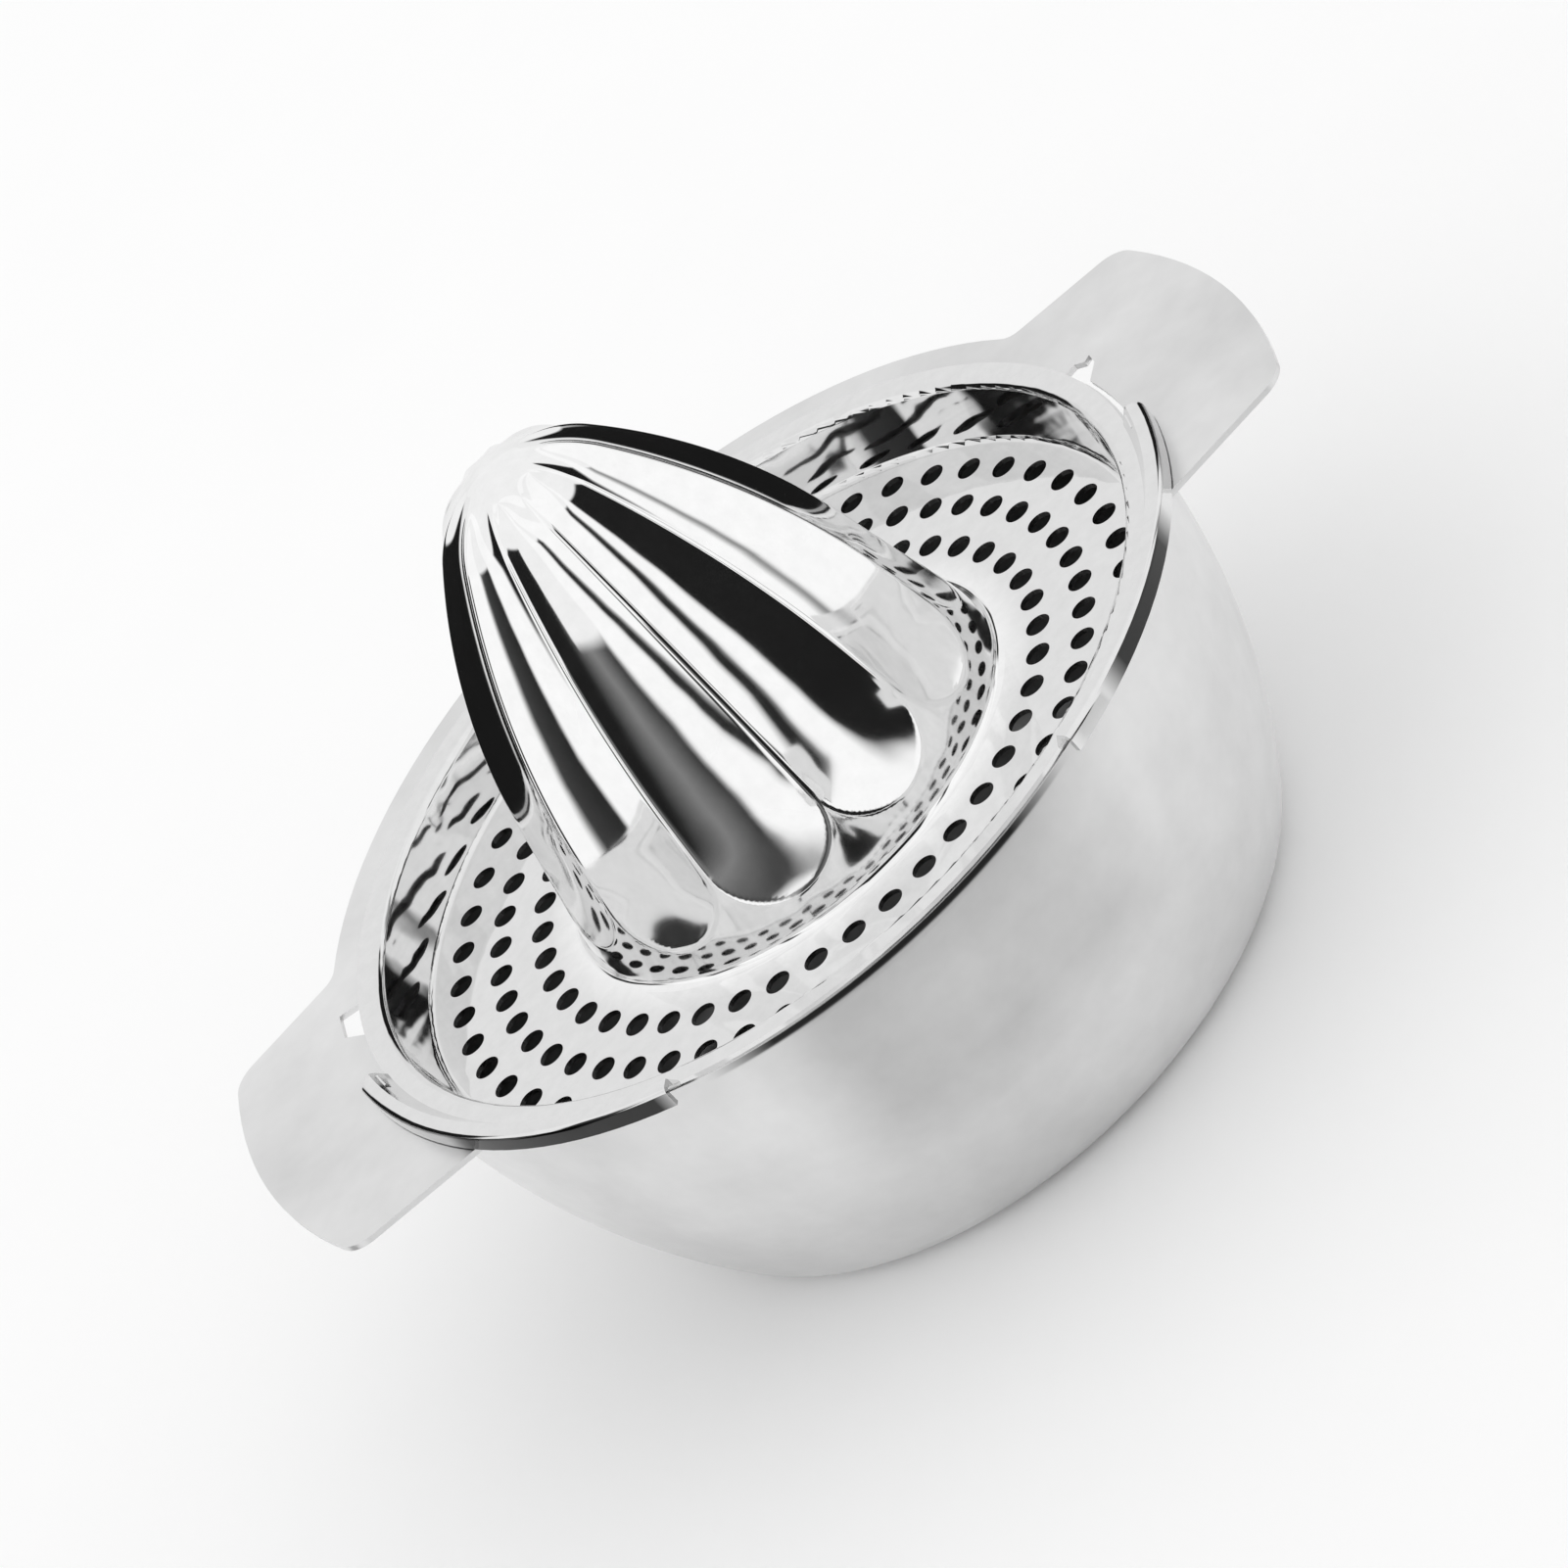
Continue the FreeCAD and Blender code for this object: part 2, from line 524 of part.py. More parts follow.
for side, swing_to in (("right", "-(%s)"), ("left", "180 + %s")):
    for name, profile, middle, span in lug_parts:
        sketch = new_sketch(top, "%s_%s_section" % (side, name), "XZ_Plane", turn=swing_to % middle)
        polygon(sketch, profile)
        lugs = revolve(top, "%s_%s" % (side, name), sketch, span)

lug_turn = math.radians(-size("lug_start"))
skirt_radius = size("mouth_radius") + size("lug_reach")
ear_end = upright_edges(lugs.Shape, skirt_radius * math.cos(lug_turn),
                        skirt_radius * math.sin(lug_turn), 0.2)
lug_rounded = fillet(top, "lug_corner_round", lugs, ear_end, "lug_corner")
pad_top = base_z + sheet_t + size("lug_rise")
lug_done = fillet(top, "lug_edge_round", lug_rounded,
                  ring_edges(lug_rounded.Shape, skirt_radius, pad_top), "lug_round")

# The reamer: an outline of ridges turned about Z, with flutes scooped out of it.  The same
# form, grown or shrunk by the sheet, makes its outside and the hollow under it.
taper = math.radians(size("cone_taper"))
floor_z = base_z + sheet_t - size("dish_depth")
ridge_r = size("ridge_radius")
tip_r = size("tip_radius")
tip_centre = Vector(0, 0, floor_z + size("cone_height") - tip_r)
wall_up = Vector(-math.sin(taper), 0, math.cos(taper))
wall_out = Vector(math.cos(taper), 0, math.sin(taper))
wall_foot = Vector(size("cone_foot"), 0, floor_z)
to_tip = tip_centre - (wall_foot - wall_out * ridge_r)
shoulder_up = to_tip.dot(wall_up) - math.sqrt((ridge_r - tip_r) ** 2 - to_tip.dot(wall_out) ** 2)
ridge_centre = wall_foot - wall_out * ridge_r + wall_up * shoulder_up
shoulder_z = floor_z + shoulder_up * math.cos(taper)
shoulder_r = wall_foot.x - shoulder_up * math.sin(taper)
tip_lean = math.atan2(tip_centre.z - ridge_centre.z, tip_centre.x - ridge_centre.x)
root_round = size("cone_root_round")
root_centre = Vector(wall_foot.x - root_round * math.tan(taper) + root_round / math.cos(taper), 0,
                     floor_z + root_round)


def toward(centre, radius, angle):
    """Point on a circle of the XZ plane."""
    return centre + Vector(math.cos(angle), 0, math.sin(angle)) * radius


def arc(centre, radius, first, last):
    """Arc of the XZ plane through its middle."""
    return Part.Arc(toward(centre, radius, first), toward(centre, radius, (first + last) / 2),
                    toward(centre, radius, last)).toShape()


def ridge_form(inset):
    """Solid under the ridges, its walls moved inward by inset."""
    low = floor_z - sheet_t - inset
    root_arc = root_round + inset
    foot = toward(root_centre, root_arc, -math.pi / 2)
    wall_low = toward(root_centre, root_arc, math.pi + taper)
    wall_high = toward(ridge_centre, ridge_r - inset, taper)
    bend = toward(ridge_centre, ridge_r - inset, tip_lean)
    peak = toward(tip_centre, tip_r - inset, math.pi / 2)
    edges = [
        Part.LineSegment(Vector(0, 0, low), Vector(foot.x, 0, low)).toShape(),
        Part.LineSegment(Vector(foot.x, 0, low), foot).toShape(),
        arc(root_centre, root_arc, -math.pi / 2, taper - math.pi),
        Part.LineSegment(wall_low, wall_high).toShape(),
        arc(ridge_centre, ridge_r - inset, taper, tip_lean),
        arc(tip_centre, tip_r - inset, tip_lean, math.pi / 2),
        Part.LineSegment(peak, Vector(0, 0, low)).toShape(),
    ]
    face = Part.Face(Part.Wire(edges))
    return face.revolve(Vector(0, 0, 0), Vector(0, 0, 1), 360)


def scoop(grow):
    """One flute cutter, turned about a leaning line: a ball that narrows to a waist above the tip."""
    lean = math.radians(size("flute_lean"))
    ball = size("flute_ball") + grow
    waist = size("flute_waist") + grow
    curve = size("flute_curve") - grow
    run = math.sqrt((ball + curve) ** 2 - (waist + curve) ** 2)
    meet = math.atan2(waist + curve, run)
    middle = Vector(size("flute_out"), 0, floor_z + size("flute_start"))
    up = Vector(-math.sin(lean), 0, math.cos(lean))
    out = Vector(math.cos(lean), 0, math.sin(lean))
    curve_middle = middle + up * run + out * (waist + curve)
    edges = [
        arc(middle, ball, lean - math.pi / 2, lean + math.pi / 2 - meet),
        arc(curve_middle, curve, lean + math.pi * 3 / 2 - meet, lean + math.pi),
        Part.LineSegment(middle + up * run + out * waist, middle + up * run).toShape(),
        Part.LineSegment(middle + up * run, middle - up * ball).toShape(),
    ]
    return Part.Face(Part.Wire(edges)).revolve(middle, up, 360)


def fluted_form(inset):
    """The ridge form with every flute cut, moved inward by inset."""
    form = ridge_form(inset)
    cutter = scoop(inset)
    cutters = []
    for number in range(int(size("flute_count"))):
        turned = cutter.copy()
        turned.rotate(Vector(0, 0, 0), Vector(0, 0, 1),
                      size("flute_phase") + (number + 0.5) * 360 / size("flute_count"))
        cutters.append(turned)
    return form.cut(cutters)


reamer = doc.addObject("Part::Feature", "reamer_shell")
reamer.Shape = fluted_form(0).cut(fluted_form(sheet_t)).Solids[0]

strainer = doc.addObject("Part::Fuse", "strainer_reamer")
strainer.Label = "strainer_reamer"
strainer.Base = top
strainer.Tool = reamer
strainer.Placement = Placement(Vector(0, 0, 0), Rotation(Vector(0, 0, 1), -1))
strainer.setExpression(".Placement.Rotation.Angle", cell("-twist_angle"))
doc.recompute()

pieces = [bowl, strainer]
for item in doc.Objects:
    if "Invalid" in item.State or "Error" in item.State:
        raise RuntimeError("%s did not build: %s" % (item.Name, item.State))
for piece in pieces:
    shape = piece.Shape
    if shape.isNull() or not shape.isValid() or len(shape.Solids) != 1:
        raise RuntimeError("%s is not one valid solid" % piece.Label)
for piece in pieces:
    piece.Shape.exportStep("parts/%s.step" % piece.Label)
    print(piece.Label, "volume %.0f" % piece.Shape.Volume)
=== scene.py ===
import math

import bpy
from mathutils import Matrix, Vector


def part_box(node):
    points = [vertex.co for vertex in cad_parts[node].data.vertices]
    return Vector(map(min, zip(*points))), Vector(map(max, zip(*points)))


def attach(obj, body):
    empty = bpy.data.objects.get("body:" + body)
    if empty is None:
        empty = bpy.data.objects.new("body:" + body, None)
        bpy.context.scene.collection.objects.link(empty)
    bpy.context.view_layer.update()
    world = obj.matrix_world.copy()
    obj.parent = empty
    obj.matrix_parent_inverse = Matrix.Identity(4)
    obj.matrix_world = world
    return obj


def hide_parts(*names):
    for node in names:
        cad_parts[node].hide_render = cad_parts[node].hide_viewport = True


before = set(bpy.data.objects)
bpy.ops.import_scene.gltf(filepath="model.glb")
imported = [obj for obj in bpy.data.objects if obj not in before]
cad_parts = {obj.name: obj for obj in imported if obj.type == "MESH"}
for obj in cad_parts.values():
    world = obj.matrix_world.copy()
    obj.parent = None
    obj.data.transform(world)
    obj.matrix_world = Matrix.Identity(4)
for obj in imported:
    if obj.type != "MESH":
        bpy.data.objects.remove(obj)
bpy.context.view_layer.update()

# Heights that come from the frame, in metres: the bowl's rim and the top of the perforated floor.
SHEET_MM = 0.7
bowl_low, bowl_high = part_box("juice_bowl")
top_low, top_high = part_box("strainer_reamer")
RIM_Z = bowl_high[2]
FLOOR_Z = top_low[2] + SHEET_MM / 1000

# The camera looks at the middle of the perforated floor.  Its places are in radii of the middle
# ring of holes.
RING_RADIUS = 0.045
ELEVATION = math.radians(29.47)
ROLL = math.radians(43.44)
DISTANCE = 19.07 * RING_RADIUS
ASIDE = 0.007 * RING_RADIUS
UP = 0.009 * RING_RADIUS
LENS_MM = 159.18
SENSOR_MM = 36.0
CLIP_START = 0.01

# Radii on the metal, in metres: the bowl's inside lies within the first, the lugs' skirts lie
# beyond the second, and the ramps over the strainer's radius end at the third.
BOWL_INSIDE = 0.0602
SKIRT_START = 0.0618
STRAINER_SPAN = 0.07

# The table, in metres: half its side, how far from the object polished metal still sees it white,
# and where the ramp over that distance ends.
TABLE_HALF = 3.0
TABLE_REACH = 0.15
TABLE_SPAN = 0.4

# How far into the reamer's root the strainer's own faces are kept.
OVERLAP_MM = 0.04

# What polished metal sees round the object, as (bearing, brightness).  The bearing runs from 0 to
# 1 round the object: 0.5 is toward the camera, 0.25 on its left and 0.75 on its right.
STUDIO = (
    (0.0, 0.9), (0.076, 0.85),  # backdrop
    (0.086, 0.01), (0.182, 0.01),  # dark opening on the left
    (0.190, 1.0), (0.243, 1.0), (0.250, 0.02), (0.287, 0.05), (0.296, 1.0), (0.360, 1.0),
    (0.365, 0.02), (0.375, 0.02), (0.380, 1.0), (0.413, 1.0),  # left lamps and their gaps
    (0.420, 0.03), (0.450, 0.22), (0.478, 0.012), (0.590, 0.012),  # dark room round the camera
    (0.596, 1.0), (0.620, 1.0), (0.626, 0.02), (0.637, 0.02), (0.643, 1.0), (0.780, 1.0),
    (0.790, 0.20), (0.805, 1.0), (0.832, 1.0),  # right lamps and their gaps
    (0.842, 0.01), (0.918, 0.01),  # dark opening on the right
    (0.928, 0.85), (1.0, 0.9),  # backdrop
)
# Where the light ceiling starts above them, as (bearing, share of the way up to the zenith).
CEILING = (
    (0.0, 0.25), (0.19, 0.25), (0.24, 0.30), (0.30, 0.32), (0.36, 0.45), (0.38, 0.45),
    (0.415, 0.24), (0.47, 0.26), (0.48, 0.52), (0.60, 0.52), (0.65, 0.46), (0.78, 0.25),
    (1.0, 0.25),
)


def add_camera():
    """The photograph's viewpoint: in front, above, and rolled so the right ear points up."""
    forward = Vector((0, math.cos(ELEVATION), -math.sin(ELEVATION)))
    right = Vector((1, 0, 0))
    over = Vector((0, math.sin(ELEVATION), math.cos(ELEVATION)))
    across = right * math.cos(ROLL) - over * math.sin(ROLL)
    upward = right * math.sin(ROLL) + over * math.cos(ROLL)
    place = Vector((0, 0, FLOOR_Z)) - forward * DISTANCE - across * ASIDE - upward * UP
    turn = Matrix((across, upward, -forward)).transposed()
    data = bpy.data.cameras.new("camera")
    data.lens = LENS_MM
    data.sensor_width = SENSOR_MM
    data.clip_start = CLIP_START
    camera = bpy.data.objects.new("camera", data)
    camera.matrix_world = Matrix.Translation(place) @ turn.to_4x4()
    bpy.context.scene.collection.objects.link(camera)
    bpy.context.scene.camera = camera


class Nodes:
    """A short way to lay out a node tree."""

    def __init__(self, tree):
        self.tree = tree
        tree.nodes.clear()

    def add(self, kind, *, inputs=None, **settings):
        node = self.tree.nodes.new(kind)
        for name, value in settings.items():
            setattr(node, name, value)
        for name, value in (inputs or {}).items():
            self.feed(node, name, value)
        return node

    def feed(self, node, name, value):
        socket = node.inputs[name]
        if isinstance(value, bpy.types.NodeSocket):
            self.tree.links.new(value, socket)
        else:
            socket.default_value = value

    def ramp(self, factor, stops):
        node = self.add("ShaderNodeValToRGB", inputs={"Fac": factor})
        elements = node.color_ramp.elements
        while len(elements) < len(stops):
            elements.new(0.5)
        for element, (at, level) in zip(elements, stops):
            element.position = at
            element.color = (level, level, level, 1)
        return node.outputs["Color"]

    def math(self, operation, *values):
        node = self.tree.nodes.new("ShaderNodeMath")
        node.operation = operation
        for place, value in enumerate(values):
            self.feed(node, place, value)
        return node.outputs[0]

    def product(self, first, *others):
        for other in others:
            first = self.math("MULTIPLY", first, other)
        return first

    def loss(self, where, amount):
        """1 where the mask is 0, less by the amount where it is 1."""
        return self.math("MULTIPLY_ADD", where, -amount, 1.0)

    def split(self, vector):
        return self.add("ShaderNodeSeparateXYZ", inputs={"Vector": vector}).outputs

    def flat_dot(self, one, two):
        """The dot product of two split vectors, seen from above."""
        return self.math("MULTIPLY_ADD", one["Y"], two["Y"],
                         self.math("MULTIPLY", one["X"], two["X"]))

    def flat_length(self, one):
        return self.math("POWER", self.flat_dot(one, one), 0.5)

    def bearing(self, place):
        """0 to 1 round the object, as in STUDIO."""
        turned = self.math("ARCTAN2", place["X"], self.math("MULTIPLY", place["Y"], -1.0))
        return self.math("MULTIPLY_ADD", turned, 0.5 / math.pi, 0.5)

    def noise(self, where, scale, detail=4.0, rough=0.5):
        return self.add("ShaderNodeTexNoise",
                        inputs={"Vector": where, "Scale": scale, "Detail": detail,
                                "Roughness": rough}).outputs["Fac"]

    def glossy_mix(self, plain, mirrored):
        """One colour for the eye and diffuse light, another for reflections in metal."""
        shiny = self.add("ShaderNodeLightPath").outputs["Is Glossy Ray"]
        return self.add("ShaderNodeMix", data_type="RGBA",
                        inputs={0: shiny, 6: plain, 7: mirrored}).outputs[2]

    def metal(self, colour, rough, *, height, depth, strength):
        """The tree's surface: metal with bumps that are depth metres high."""
        bump = self.add("ShaderNodeBump",
                        inputs={"Strength": strength, "Distance": depth, "Height": height})
        shader = self.add("ShaderNodeBsdfPrincipled",
                          inputs={"Base Color": colour, "Metallic": 1.0, "Roughness": rough,
                                  "Normal": bump.outputs["Normal"]})
        self.add("ShaderNodeOutputMaterial", inputs={"Surface": shader.outputs["BSDF"]})


def new_material(name):
    material = bpy.data.materials.new(name)
    material.use_nodes = True
    return material, Nodes(material.node_tree)


def satin_steel():
    """Spun and tumbled sheet: soft, cloudy, with faint rubbed marks, and painted shade inside, at
    the front under the rim and under the strainer's flange.
    """
    material, nodes = new_material("satin_steel")
    coords = nodes.add("ShaderNodeTexCoord")
    where = coords.outputs["Object"]
    cloud = nodes.noise(where, 28.0, 5.0, 0.6)
    grain = nodes.noise(where, 2600.0, 3.0, 0.6)
    stretched = nodes.add("ShaderNodeMapping", inputs={"Vector": where, "Scale": (1, 1, 14)})
    rubbed = nodes.noise(stretched.outputs["Vector"], 160.0, 5.0, 0.65)

    # Painted shade: the inside, which faces the axis or looks up and lies within the wall, is
    # painted half as bright.
    place = nodes.split(where)
    face = nodes.split(coords.outputs["Normal"])
    out = nodes.flat_length(place)
    lean = nodes.math("DIVIDE", nodes.flat_dot(place, face), out)
    inward = nodes.math("SUBTRACT", face["Z"], lean)
    inside = nodes.product(nodes.math("GREATER_THAN", inward, 0.3),
                           nodes.math("LESS_THAN", out, BOWL_INSIDE))

    # Painted shade: the front of the wall is painted a little darker under the rim.
    side = nodes.bearing(place)
    up = nodes.math("DIVIDE", place["Z"], RIM_Z)
    front = nodes.ramp(side, ((0.425, 0.0), (0.455, 1.0), (0.545, 1.0), (0.58, 0.0)))
    upper = nodes.ramp(up, ((0.42, 0.0), (0.60, 1.0)))
    painted_front_shade = nodes.product(front, upper, 0.17)

    # Painted shade: at the front, the wall just under the strainer's flange is painted nearly
    # black, where the gap between them lies in shadow.
    gap_shade_side = nodes.ramp(side, ((0.417, 0.0), (0.44, 1.0), (0.54, 1.0), (0.569, 0.0)))
    gap_shade_up = nodes.ramp(up, ((0.975, 0.0), (0.981, 1.0), (0.997, 1.0), (1.0, 0.0)))
    painted_gap_shade = nodes.product(gap_shade_side, gap_shade_up, nodes.math("LESS_THAN", inward, 0.3))

    plain = nodes.ramp(cloud, ((0.32, 0.68), (0.5, 0.77), (0.68, 0.86)))
    colour = nodes.product(nodes.math("SUBTRACT", plain, painted_front_shade), nodes.loss(painted_gap_shade, 0.96),
                           nodes.loss(inside, 0.5))
    rough = nodes.math("ADD", nodes.math("MULTIPLY", cloud, 0.10),
                       nodes.math("MULTIPLY_ADD", rubbed, 0.08, 0.24))
    height = nodes.math("ADD", nodes.math("MULTIPLY", grain, 0.4), rubbed)
    nodes.metal(colour, rough, height=height, depth=0.00012, strength=0.12)
    return material


def polished_steel():
    """Mirror-polished pressing: clear reflections that the sheet's waves bend, most of all where
    it was drawn hardest, round the reamer's foot and on the dish's wall."""
    material, nodes = new_material("polished_steel")
    coords = nodes.add("ShaderNodeTexCoord")
    where = coords.outputs["Object"]
    wave = nodes.noise(where, 70.0, 2.0)
    haze = nodes.noise(where, 420.0, 4.0, 0.6)
    place = nodes.split(where)
    out = nodes.flat_length(place)
    share = nodes.math("DIVIDE", out, STRAINER_SPAN)
    drawn = nodes.ramp(share, ((0.43, 0.22), (0.48, 0.9), (0.53, 0.25), (0.71, 0.25),
                               (0.76, 1.0), (0.86, 0.9), (0.9, 0.2)))

    # Painted shade and a painted reflection: the dish, brim and lugs are painted darker than the
    # reamer, and the lugs' skirts are painted dark along their middles.
    painted_dish_shade = nodes.ramp(share, ((0.47, 1.0), (0.53, 0.84)))
    face = nodes.split(coords.outputs["Normal"])
    skirt = nodes.product(nodes.math("GREATER_THAN", out, SKIRT_START),
                          nodes.math("LESS_THAN", face["Z"], 0.4))
    # Painted reflection: a dark band along the middle of each skirt.
    middle = nodes.ramp(nodes.bearing(place),
                        ((0.312, 0.0), (0.322, 1.0), (0.404, 1.0), (0.410, 0.0),
                         (0.588, 0.0), (0.600, 1.0), (0.650, 1.0), (0.665, 0.0)))
    colour = nodes.product(nodes.ramp(haze, ((0.3, 0.91), (0.75, 0.97))), painted_dish_shade,
                           nodes.loss(nodes.product(skirt, middle), 0.94))
    rough = nodes.math("MULTIPLY_ADD", haze, 0.05, 0.03)
    nodes.metal(colour, rough, height=wave, depth=0.0004, strength=drawn)
    return material


def assign(thing, material):
    for place in thing.material_slots:
        place.link = "DATA"
        place.material = material


class Reamer:
    """The reamer's pressed form in millimetres above the perforated floor: an outline of ridges
    turned about Z, with round-ended flutes pressed into it."""

    COUNT = 11
    FIRST_RIDGE = math.radians(272.1)
    # The outline: radius at the floor, taper of the wall, rounding at the floor, radii of the
    # bending ridge and of the tip, and the height.
    FOOT, TAPER, ROOT = 32.3, math.radians(12.45), 1.2
    RIDGE, TIP, HEIGHT = 89.0, 15.5, 59.6
    # The flutes: where they start up the slope, how far their round ends and their deepening
    # reach from there, depth as a share of half their width, half the crest's width, the radii
    # between which they fade out at the tip, and the depth that still counts.
    FLUTE_START, FLUTE_END, SLOPE_END = 4.6, 7.6, 14.0
    FLUTE_DEEP, CREST = 0.24, 0.45
    FADE_FROM, FADE_TO = 9.5, 4.0
    LEAST = 0.001
    # The mesh: steps up each part of the outline, columns from a crest to a valley and how they
    # crowd at the crest, and how far the sheet's edge runs on over the floor and into it.
    ROOT_STEPS, WALL_STEPS, RIDGE_STEPS, TIP_STEPS = 6, 48, 40, 31
    COLUMNS, CROWD = 16, 1.3
    EDGE_OUT, EDGE_SINK = 0.3, 0.05

    def __init__(self):
        up = Vector((-math.sin(self.TAPER), math.cos(self.TAPER)))
        out = Vector((math.cos(self.TAPER), math.sin(self.TAPER)))
        foot = Vector((self.FOOT, 0))
        self.tip = Vector((0, self.HEIGHT - self.TIP))
        reach = self.tip - (foot - out * self.RIDGE)
        rise = reach.dot(up) - math.sqrt((self.RIDGE - self.TIP) ** 2 - reach.dot(out) ** 2)
        self.bend = foot - out * self.RIDGE + up * rise
        self.lean = math.atan2(self.tip.y - self.bend.y, self.tip.x - self.bend.x)
        in_from_foot = self.ROOT * (1 / math.cos(self.TAPER) - math.tan(self.TAPER))
        self.root = Vector((self.FOOT + in_from_foot, self.ROOT))
        self.out, self.up, self.start, self.rise = out, up, foot, rise

    def outline(self):
        """Points up the ridge line with their outward directions, floor first, tip last."""
        rows = []
        for step in range(self.ROOT_STEPS + 1):
            angle = -math.pi / 2 - step / self.ROOT_STEPS * (math.pi / 2 - self.TAPER)
            out = Vector((math.cos(angle), math.sin(angle)))
            rows.append((self.root + out * self.ROOT, -out))
        begin = (rows[-1][0] - self.start).dot(self.up)
        for step in range(1, self.WALL_STEPS + 1):
            along = begin + (self.rise - begin) * step / self.WALL_STEPS
            rows.append((self.start + self.up * along, self.out))
        for step in range(1, self.RIDGE_STEPS + 1):
            angle = self.TAPER + (self.lean - self.TAPER) * step / self.RIDGE_STEPS
            out = Vector((math.cos(angle), math.sin(angle)))
            rows.append((self.bend + out * self.RIDGE, out))
        for step in range(1, self.TIP_STEPS):
            angle = self.lean + (math.pi / 2 - self.lean) * step / self.TIP_STEPS
            out = Vector((math.cos(angle), math.sin(angle)))
            rows.append((self.tip + out * self.TIP, out))
        return rows

    def depth(self, place, turn):
        """How far the sheet lies inside the ridge outline, turn from the middle of a ridge: an
        arc over the crest that runs smoothly into an arc down the flute."""
        half = place.x * math.pi / self.COUNT
        above = place.y / math.cos(self.TAPER) - self.FLUTE_START
        if above <= 0:
            return 0.0
        width = half * math.sqrt(1 - max(1 - above / self.FLUTE_END, 0) ** 2)
        fade = min(max((place.x - self.FADE_TO) / (self.FADE_FROM - self.FADE_TO), 0), 1)
        deep = self.FLUTE_DEEP * half * fade * (2 - fade)
        deep *= 1 - max(1 - above / self.SLOPE_END, 0) ** 2
        inward = (width - half + place.x * turn) / width
        if inward <= 0 or deep < self.LEAST:
            return 0.0
        bow = 2 * math.atan(deep / width)
        crest = min(self.CREST / width, 0.5)
        if inward < crest:
            over = crest / math.sin(bow)
            return width * (over - math.sqrt(max(over ** 2 - inward ** 2, 0)))
        hollow = (1 - crest) / math.sin(bow)
        return deep - width * (hollow - math.sqrt(max(hollow ** 2 - (1 - inward) ** 2, 0)))

    def sheets(self):
        """Outer and inner faces of the sheet: points in metres, and the faces between them."""
        half = math.pi / self.COUNT
        turns = [half * (step / self.COLUMNS) ** self.CROWD for step in range(self.COLUMNS + 1)]
        around = []
        for number in range(self.COUNT):
            before, after = 2 * half * number, 2 * half * (number + 1)
            around += [(before + turns[place], place) for place in range(self.COLUMNS)]
            around += [(after - turns[place], place) for place in range(self.COLUMNS, 0, -1)]
        wide = len(around)
        rows = [[(place, out, self.depth(place, turn)) for turn in turns]
                for place, out in self.outline()]
        outer_edge = Vector((self.root.x + self.EDGE_OUT, -self.EDGE_SINK))
        inner_edge = Vector((self.root.x + self.EDGE_OUT, self.EDGE_SINK - SHEET_MM))
        for inset, edge, sign in ((0.0, outer_edge, 1), (SHEET_MM, inner_edge, -1)):
            points = [self.at(turn, edge) for turn, _ in around]
            for row in rows:
                for turn, place in around:
                    foot, out, deep = row[place]
                    points.append(self.at(turn, foot - out * (deep + inset)))
            points.append(self.at(0, Vector((0, self.HEIGHT - inset))))
            faces = []
            for level in range(0, len(rows) * wide, wide):
                for place in range(wide):
                    after = (place + 1) % wide
                    faces.append((level + place, level + after,
                                  level + wide + after, level + wide + place))
            last = len(rows) * wide
            faces += [(last + place, last + (place + 1) % wide, len(points) - 1)
                      for place in range(wide)]
            yield points, [face[::sign] for face in faces]

    def at(self, turn, spot):
        """A point of the outline in the frame, in metres."""
        turn += self.FIRST_RIDGE
        return (spot.x * math.cos(turn) / 1000, spot.x * math.sin(turn) / 1000,
                FLOOR_Z + spot.y / 1000)


def link_new(name, mesh):
    thing = bpy.data.objects.new(name, mesh)
    bpy.context.scene.collection.objects.link(thing)
    return thing


def add_strainer(material):
    """The strainer's own dish, brim and lugs, with the reamer pressed in eleven flutes.  Faces
    wholly within the reamer's root, plus OVERLAP_MM, make room for it."""
    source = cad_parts["strainer_reamer"].data
    reamer = Reamer()
    reach = (reamer.root.x + OVERLAP_MM) / 1000
    inside = [math.hypot(spot.co.x, spot.co.y) < reach for spot in source.vertices]
    sheen = [tuple(normal.vector) for normal in source.corner_normals]
    points, faces, normals = [], [], []
    number = {}
    for face in source.polygons:
        if all(inside[corner] for corner in face.vertices):
            continue
        for corner in face.vertices:
            if corner not in number:
                number[corner] = len(points)
                points.append(tuple(source.vertices[corner].co))
        faces.append([number[corner] for corner in face.vertices])
        normals += [sheen[loop] for loop in face.loop_indices]
    for spots, patches in reamer.sheets():
        patch = bpy.data.meshes.new("patch")
        patch.from_pydata(spots, [], patches)
        patch.shade_smooth()
        normals += [tuple(normal.vector) for normal in patch.corner_normals]
        faces += [[corner + len(points) for corner in face] for face in patches]
        points += spots
        bpy.data.meshes.remove(patch)
    mesh = bpy.data.meshes.new("strainer_top")
    mesh.from_pydata(points, [], faces)
    mesh.shade_smooth()
    mesh.normals_split_custom_set(normals)
    mesh.materials.append(material)
    top = link_new("strainer_top", mesh)
    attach(top, "strainer")
    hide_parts("strainer_reamer")


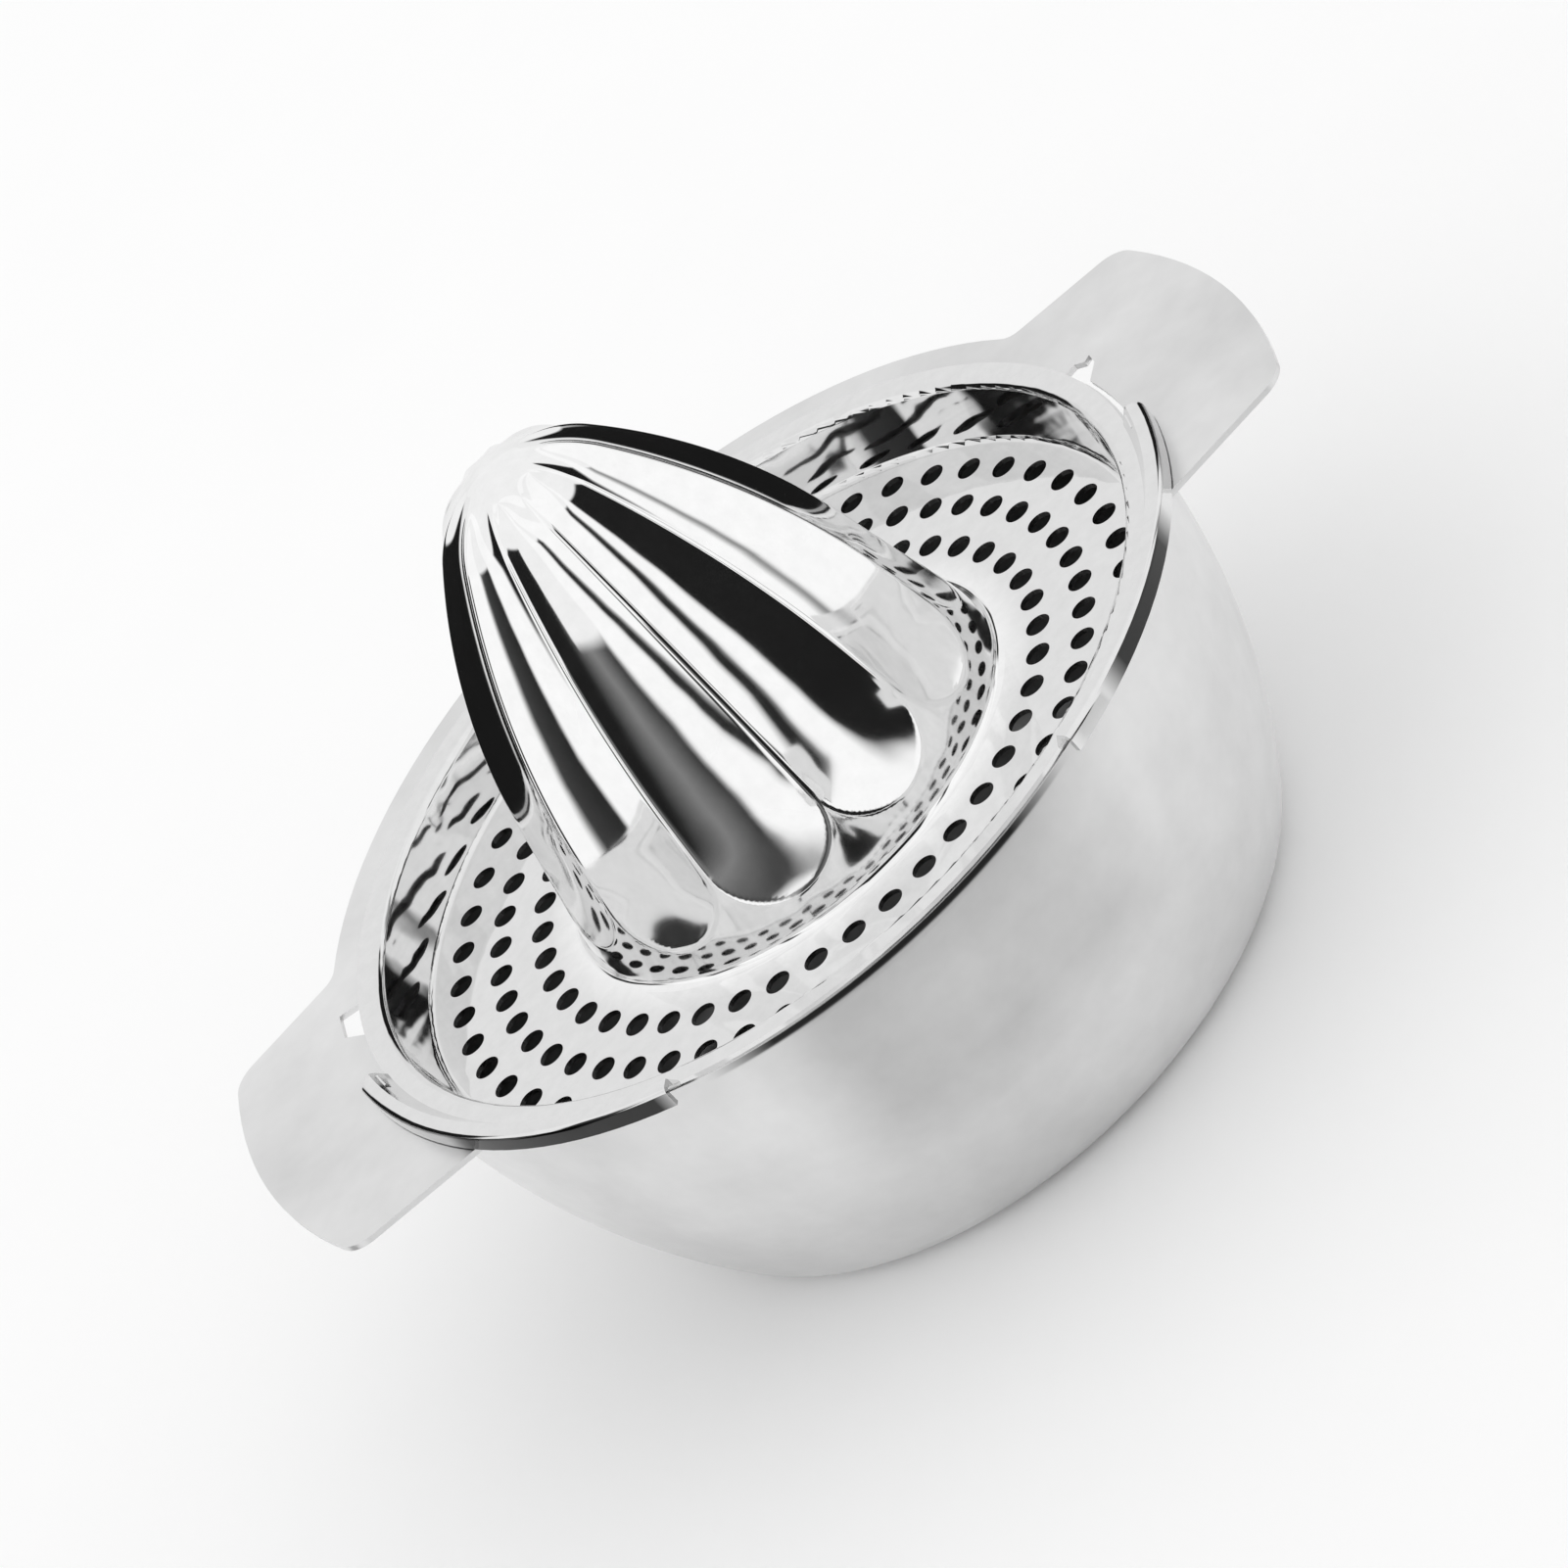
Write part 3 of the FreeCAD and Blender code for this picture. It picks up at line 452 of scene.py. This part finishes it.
def add_floor():
    """A white table.  Polished metal sees it white close by, and lit as the studio beyond."""
    mesh = bpy.data.meshes.new("table")
    corners = [(x * TABLE_HALF, y * TABLE_HALF, 0) for x, y in ((-1, -1), (1, -1), (1, 1), (-1, 1))]
    mesh.from_pydata(corners, [], [(0, 1, 2, 3)])
    table = link_new("table", mesh)
    material, nodes = new_material("table_white")
    where = nodes.add("ShaderNodeTexCoord").outputs["Object"]
    colour = nodes.ramp(nodes.noise(where, 30.0), ((0.2, 0.975), (0.8, 0.985)))
    away = nodes.add("ShaderNodeVectorMath", operation="LENGTH", inputs={0: where}).outputs["Value"]
    reach = TABLE_REACH / TABLE_SPAN
    near = nodes.ramp(nodes.math("DIVIDE", away, TABLE_SPAN),
                      ((reach - 0.04, 1.0), (reach + 0.06, 0.0)))
    around = nodes.ramp(nodes.bearing(nodes.split(where)), STUDIO)
    mirrored = nodes.math("MAXIMUM", near, around)
    shade = nodes.glossy_mix(colour, mirrored)
    shader = nodes.add("ShaderNodeBsdfPrincipled",
                       inputs={"Base Color": shade, "Roughness": 0.9, "Specular IOR Level": 0.0})
    nodes.add("ShaderNodeOutputMaterial", inputs={"Surface": shader.outputs["BSDF"]})
    mesh.materials.append(material)


def add_world():
    """White all round for the eye.  Polished metal sees the studio and a light ceiling."""
    world = bpy.data.worlds.new("room")
    bpy.context.scene.world = world
    world.use_nodes = True
    nodes = Nodes(world.node_tree)
    way = nodes.split(nodes.add("ShaderNodeTexCoord").outputs["Generated"])
    side = nodes.bearing(way)
    climb = nodes.math("DIVIDE", nodes.math("ARCSINE", way["Z"]), math.pi / 2)
    over = nodes.math("SUBTRACT", climb, nodes.ramp(side, CEILING))
    ceiling = nodes.ramp(over, ((0.0, 0.0), (0.03, 0.92)))
    mirrored = nodes.math("MAXIMUM", nodes.ramp(side, STUDIO), ceiling)
    shade = nodes.glossy_mix((1, 1, 1, 1), mirrored)
    back = nodes.add("ShaderNodeBackground", inputs={"Color": shade, "Strength": 1.0})
    nodes.add("ShaderNodeOutputWorld", inputs={"Surface": back.outputs["Background"]})


add_camera()
assign(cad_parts["juice_bowl"], satin_steel())
add_strainer(polished_steel())
add_floor()
add_world()
bpy.context.scene.view_settings.view_transform = "Standard"
